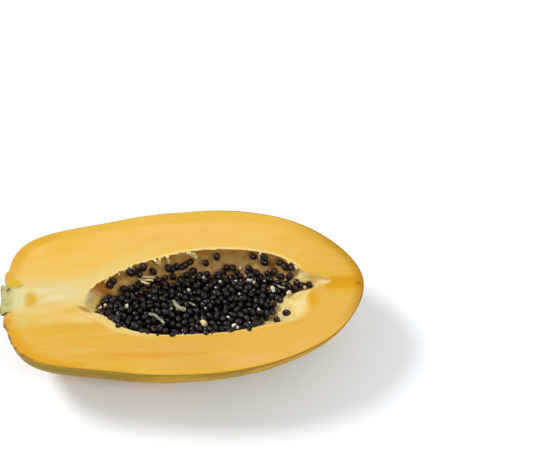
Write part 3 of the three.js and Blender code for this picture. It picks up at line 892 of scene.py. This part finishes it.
def pile_top(x, y, sink=0.0008):
    """The height at which something small lies on the seeds, or on the wall past them."""
    off = np.hypot(seeds[:, 0] - x, seeds[:, 1] - y)
    lift = np.where(off < SEED_WIDTH, seeds[:, 2] + np.sqrt(np.maximum(0, SEED_WIDTH**2 - off**2)), 0)
    wall = float(wall_height(np.array([x]), np.array([y]))[0])
    return max(lift.max(), min(wall, FACE_Z)) - sink


bpy.ops.object.select_all(action="DESELECT")
bpy.ops.mesh.primitive_uv_sphere_add(segments=12, ring_count=8, radius=1)
unripe = bpy.context.object
unripe.scale = (PALE_LENGTH, PALE_WIDTH, PALE_THICKNESS)
bpy.ops.object.transform_apply(location=False, rotation=False, scale=True)
bpy.ops.object.shade_smooth()


def crumple(piece, depth, size):
    """Moves a small torn piece's points at random, more alike where they are near."""
    shape = np.empty(len(piece.data.vertices) * 3)
    piece.data.vertices.foreach_get("co", shape)
    shape = shape.reshape(-1, 3)
    shape += depth * np.stack([lumps(shape + shift, size) for shift in (0, 0.1, 0.2)], -1)
    piece.data.vertices.foreach_set("co", shape.ravel())
    piece.data.update()


crumple(unripe, depth=0.0009, size=0.0016)


def tissue(name, light, dark):
    """Wet torn placenta, by its lighter and darker colour."""
    torn = Finish(name)
    shade = torn.mix(torn.noise(0.002).over(0.35, 0.65), light, dark)
    return torn.surface(
        base_color=shade,
        roughness=0.4,
        specular_ior_level=0.25,
        subsurface_weight=0.4,
        subsurface_radius=(0.002, 0.0015, 0.001),
        subsurface_scale=1.0,
    )


TISSUES = {
    "fresh": tissue("fresh_placenta", (252, 244, 216), (216, 200, 154)),
    "hanging": tissue("hanging_placenta", (266, 242, 178), (244, 212, 134)),
    "dry": tissue("dry_placenta", (248, 232, 176), (218, 196, 130)),
    "stained": tissue("stained_placenta", (186, 180, 150), (140, 135, 108)),
}
unripe.data.materials.append(TISSUES["fresh"])
pale_places = []
for x_mm, y_mm, _ in PALE_SEEDS:
    height = pile_top(x_mm / 1000, y_mm / 1000) + PALE_LIFT
    pale_places.append((x_mm / 1000, y_mm / 1000, min(height, PALE_TOP)))
pale_sizes = [size for _, _, size in PALE_SEEDS]
pale_seeds = sown(unripe, pale_places, pale_sizes, random_turns(len(pale_places)))
pale_seeds.name = "unripe_seeds"
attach(pale_seeds, "root")
bpy.data.objects.remove(unripe)

# ---- The placenta strands ----
# The torn strands and tags of soft tissue that the seeds hung on. Some hang from the rim down the
# far wall, where they grew, and some lie loose on the heap.

STRAND_LIFT = 0.002
STRAND_TOP = FACE_Z - 0.0002
STRAND_TIP = 0.4  # the share of its thickness that a strand keeps at its ends
# Half the thickness in millimetres, the tissue, and points in millimetres. A strand that lies on
# the seeds has no height of its own.
STRANDS = (
    (1.2, "stained", ((-21.6, -14.4), (-18.4, -15.4), (-14.8, -18.4), (-11.9, -22.4))),
    (1.8, "stained", ((-6.2, -4.4), (-5.0, -7.6), (-3.0, -10.2), (-1.0, -12.0), (1.6, -12.2))),
    (0.7, "stained", ((3.6, -6.7), (6.0, -7.0), (7.6, -9.0))),
    (2.0, "dry", ((11.0, -21.6), (12.6, -22.6), (13.8, -24.8))),
    (1.2, "dry", ((-28.6, 17.6, 45), (-23.4, 17.4, 44.6), (-17.7, 16.7, 44.4))),
    (1.0, "dry", ((-29.4, 15.8, 45.2), (-23.9, 14.4, 45.4), (-19.2, 14.4, 45.2))),
    (1.0, "dry", ((-27.2, 14, 46.2), (-24.6, 11.4, 46.8), (-21.6, 11.2, 46.8))),
    (1.5, "hanging", ((-17.1, 23.1, 56), (-16.1, 23.3, 52.7), (-14.1, 23.7, 49.6))),
    (1.1, "hanging", ((-14.3, 23.9, 55.8), (-14.1, 23.7, 53.4))),
    (1.4, "hanging", ((-9.1, 25.6, 55.8), (-9.2, 25.2, 52), (-8.9, 25, 48.7))),
    (1.6, "hanging", ((3.8, 28.2, 55.4), (6.7, 28.2, 52.2), (9.4, 27.8, 49))),
    (1.2, "hanging", ((5.4, 28.2, 53.6), (8.4, 28.4, 52.6))),
    (0.9, "hanging", ((-32.9, 18.9, 56), (-32.0, 18.8, 53.9))),
    (1.2, "hanging", ((-47.6, 12.2, 56), (-49.0, 11.5, 53.9), (-50.0, 10.6, 52.6))),
    (0.8, "hanging", ((-41.1, 15.7, 56), (-40.2, 15.4, 53.8))),
    (0.7, "hanging", ((-37.3, 17.4, 56), (-36.6, 17, 54.4))),
    (1.3, "fresh", ((50.9, 25.2, 56), (50.6, 25, 53.6), (50.5, 24.2, 48.5))),
    (1.0, "dry", ((67.2, 18.8, 55.6), (69.4, 17.2, 54.6))),
    (1.4, "dry", ((71.8, 14.6, 54.4), (74.2, 12.8, 54.2))),
    (0.9, "dry", ((60.6, 2.6), (62.2, 1.4), (64.8, 1.6))),
)
# A lying strand rests on the highest of these places round each of its points.
RESTS = ((0, 0), (0.0015, 0), (-0.0015, 0), (0, 0.0015), (0, -0.0015))
web = bpy.data.curves.new("placenta_strands", "CURVE")
web.dimensions = "3D"
web.bevel_depth = 1.0
web.bevel_resolution = 2
web.use_fill_caps = True
for material in TISSUES.values():
    web.materials.append(material)
for thick, kind, route in STRANDS:
    spline = web.splines.new("NURBS")
    spline.points.add(len(route) - 1)
    spline.use_endpoint_u = True
    spline.order_u = min(3, len(route))
    spline.material_index = list(TISSUES).index(kind)
    for step, (point, (x_mm, y_mm, *z_mm)) in enumerate(zip(spline.points, route)):
        pile = max(pile_top(x_mm / 1000 + off_x, y_mm / 1000 + off_y) for off_x, off_y in RESTS)
        height = z_mm[0] / 1000 if z_mm else min(pile + STRAND_LIFT, STRAND_TOP)
        point.co = (x_mm / 1000, y_mm / 1000, height, 1)
        taper = STRAND_TIP + (1 - STRAND_TIP) * math.sin(math.pi * (step + 0.5) / len(route))
        point.radius = thick / 1000 * taper * rng.uniform(0.7, 1.2)
strands = bpy.data.objects.new("placenta_strands", web)
bpy.context.collection.objects.link(strands)
bpy.ops.object.select_all(action="DESELECT")
strands.select_set(True)
bpy.context.view_layer.objects.active = strands
bpy.ops.object.convert(target="MESH")
strands = bpy.context.object
crumple(strands, depth=0.0005, size=0.0019)
bpy.ops.object.shade_smooth()
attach(strands, "root")

# ---- The stem stub ----
# The dry end of the fruit's stalk, which the flesh grew round, split by the same cut: pale green
# fibres in a thin dark bark.

stub = stub_round(0.0)
stub.name = "stalk_stub"
bpy.ops.object.mode_set(mode="EDIT")
bpy.ops.mesh.select_all(action="SELECT")
cut_plane = {"plane_co": (0, 0, FACE_Z), "plane_no": (0, 0, 1)}
bpy.ops.mesh.bisect(**cut_plane, clear_outer=True, use_fill=True, threshold=1e-7)
bpy.ops.mesh.select_all(action="SELECT")
bpy.ops.mesh.normals_make_consistent(inside=False)
bpy.ops.object.mode_set(mode="OBJECT")
bpy.ops.object.shade_smooth_by_angle(angle=math.radians(40))

cork = Finish("stalk", gloss=0.015)
stub_x, stub_z = (cork.node("SeparateXYZ", (), {0: cork.place()}, axis) for axis in "XZ")
fibre = cork.noise(0.0009, (9, 1, 1.5), detail=3.0)
blot = cork.noise(0.003, (1.6, 1, 1), detail=4.0)
wood = cork.mix(fibre.over(0.35, 0.65), (196, 188, 112), (208, 201, 140))
wood = cork.mix(blot.over(0.48, 0.66) * 0.6, wood, (172, 164, 92))
wood = cork.mix(stub_x.over(-0.1105, -0.1045), wood, (230, 219, 160))
# Two dark cracks: the middle and the half size in millimetres, and the turn in degrees.
CRACKS = (((-110.6, 6.9), (2.3, 1.1), 55), ((-110.8, -9.8), (4.2, 1.4), 6))
for middle, half_size, degrees in CRACKS:
    wood = cork.mix(cork.patch(middle, half_size, degrees, 0.7) * 0.9, wood, (104, 84, 40))
wood = cork.mix(stub_x.over(-0.1142, -0.1152) * 0.85, wood, (112, 112, 68))
bark = cork.mix(fibre.over(0.4, 0.6), (132, 122, 84), (104, 92, 62))
wood = cork.mix(stub_z.over(0.0557, 0.0553) * stub_x.over(-0.108, -0.11), wood, bark)
stub.data.materials.append(
    cork.surface(
        base_color=wood,
        roughness=0.6,
        specular_ior_level=0.2,
        normal=cork.relief(fibre, 0.0002),
    )
)
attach(stub, "root")
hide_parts("stem_stub")
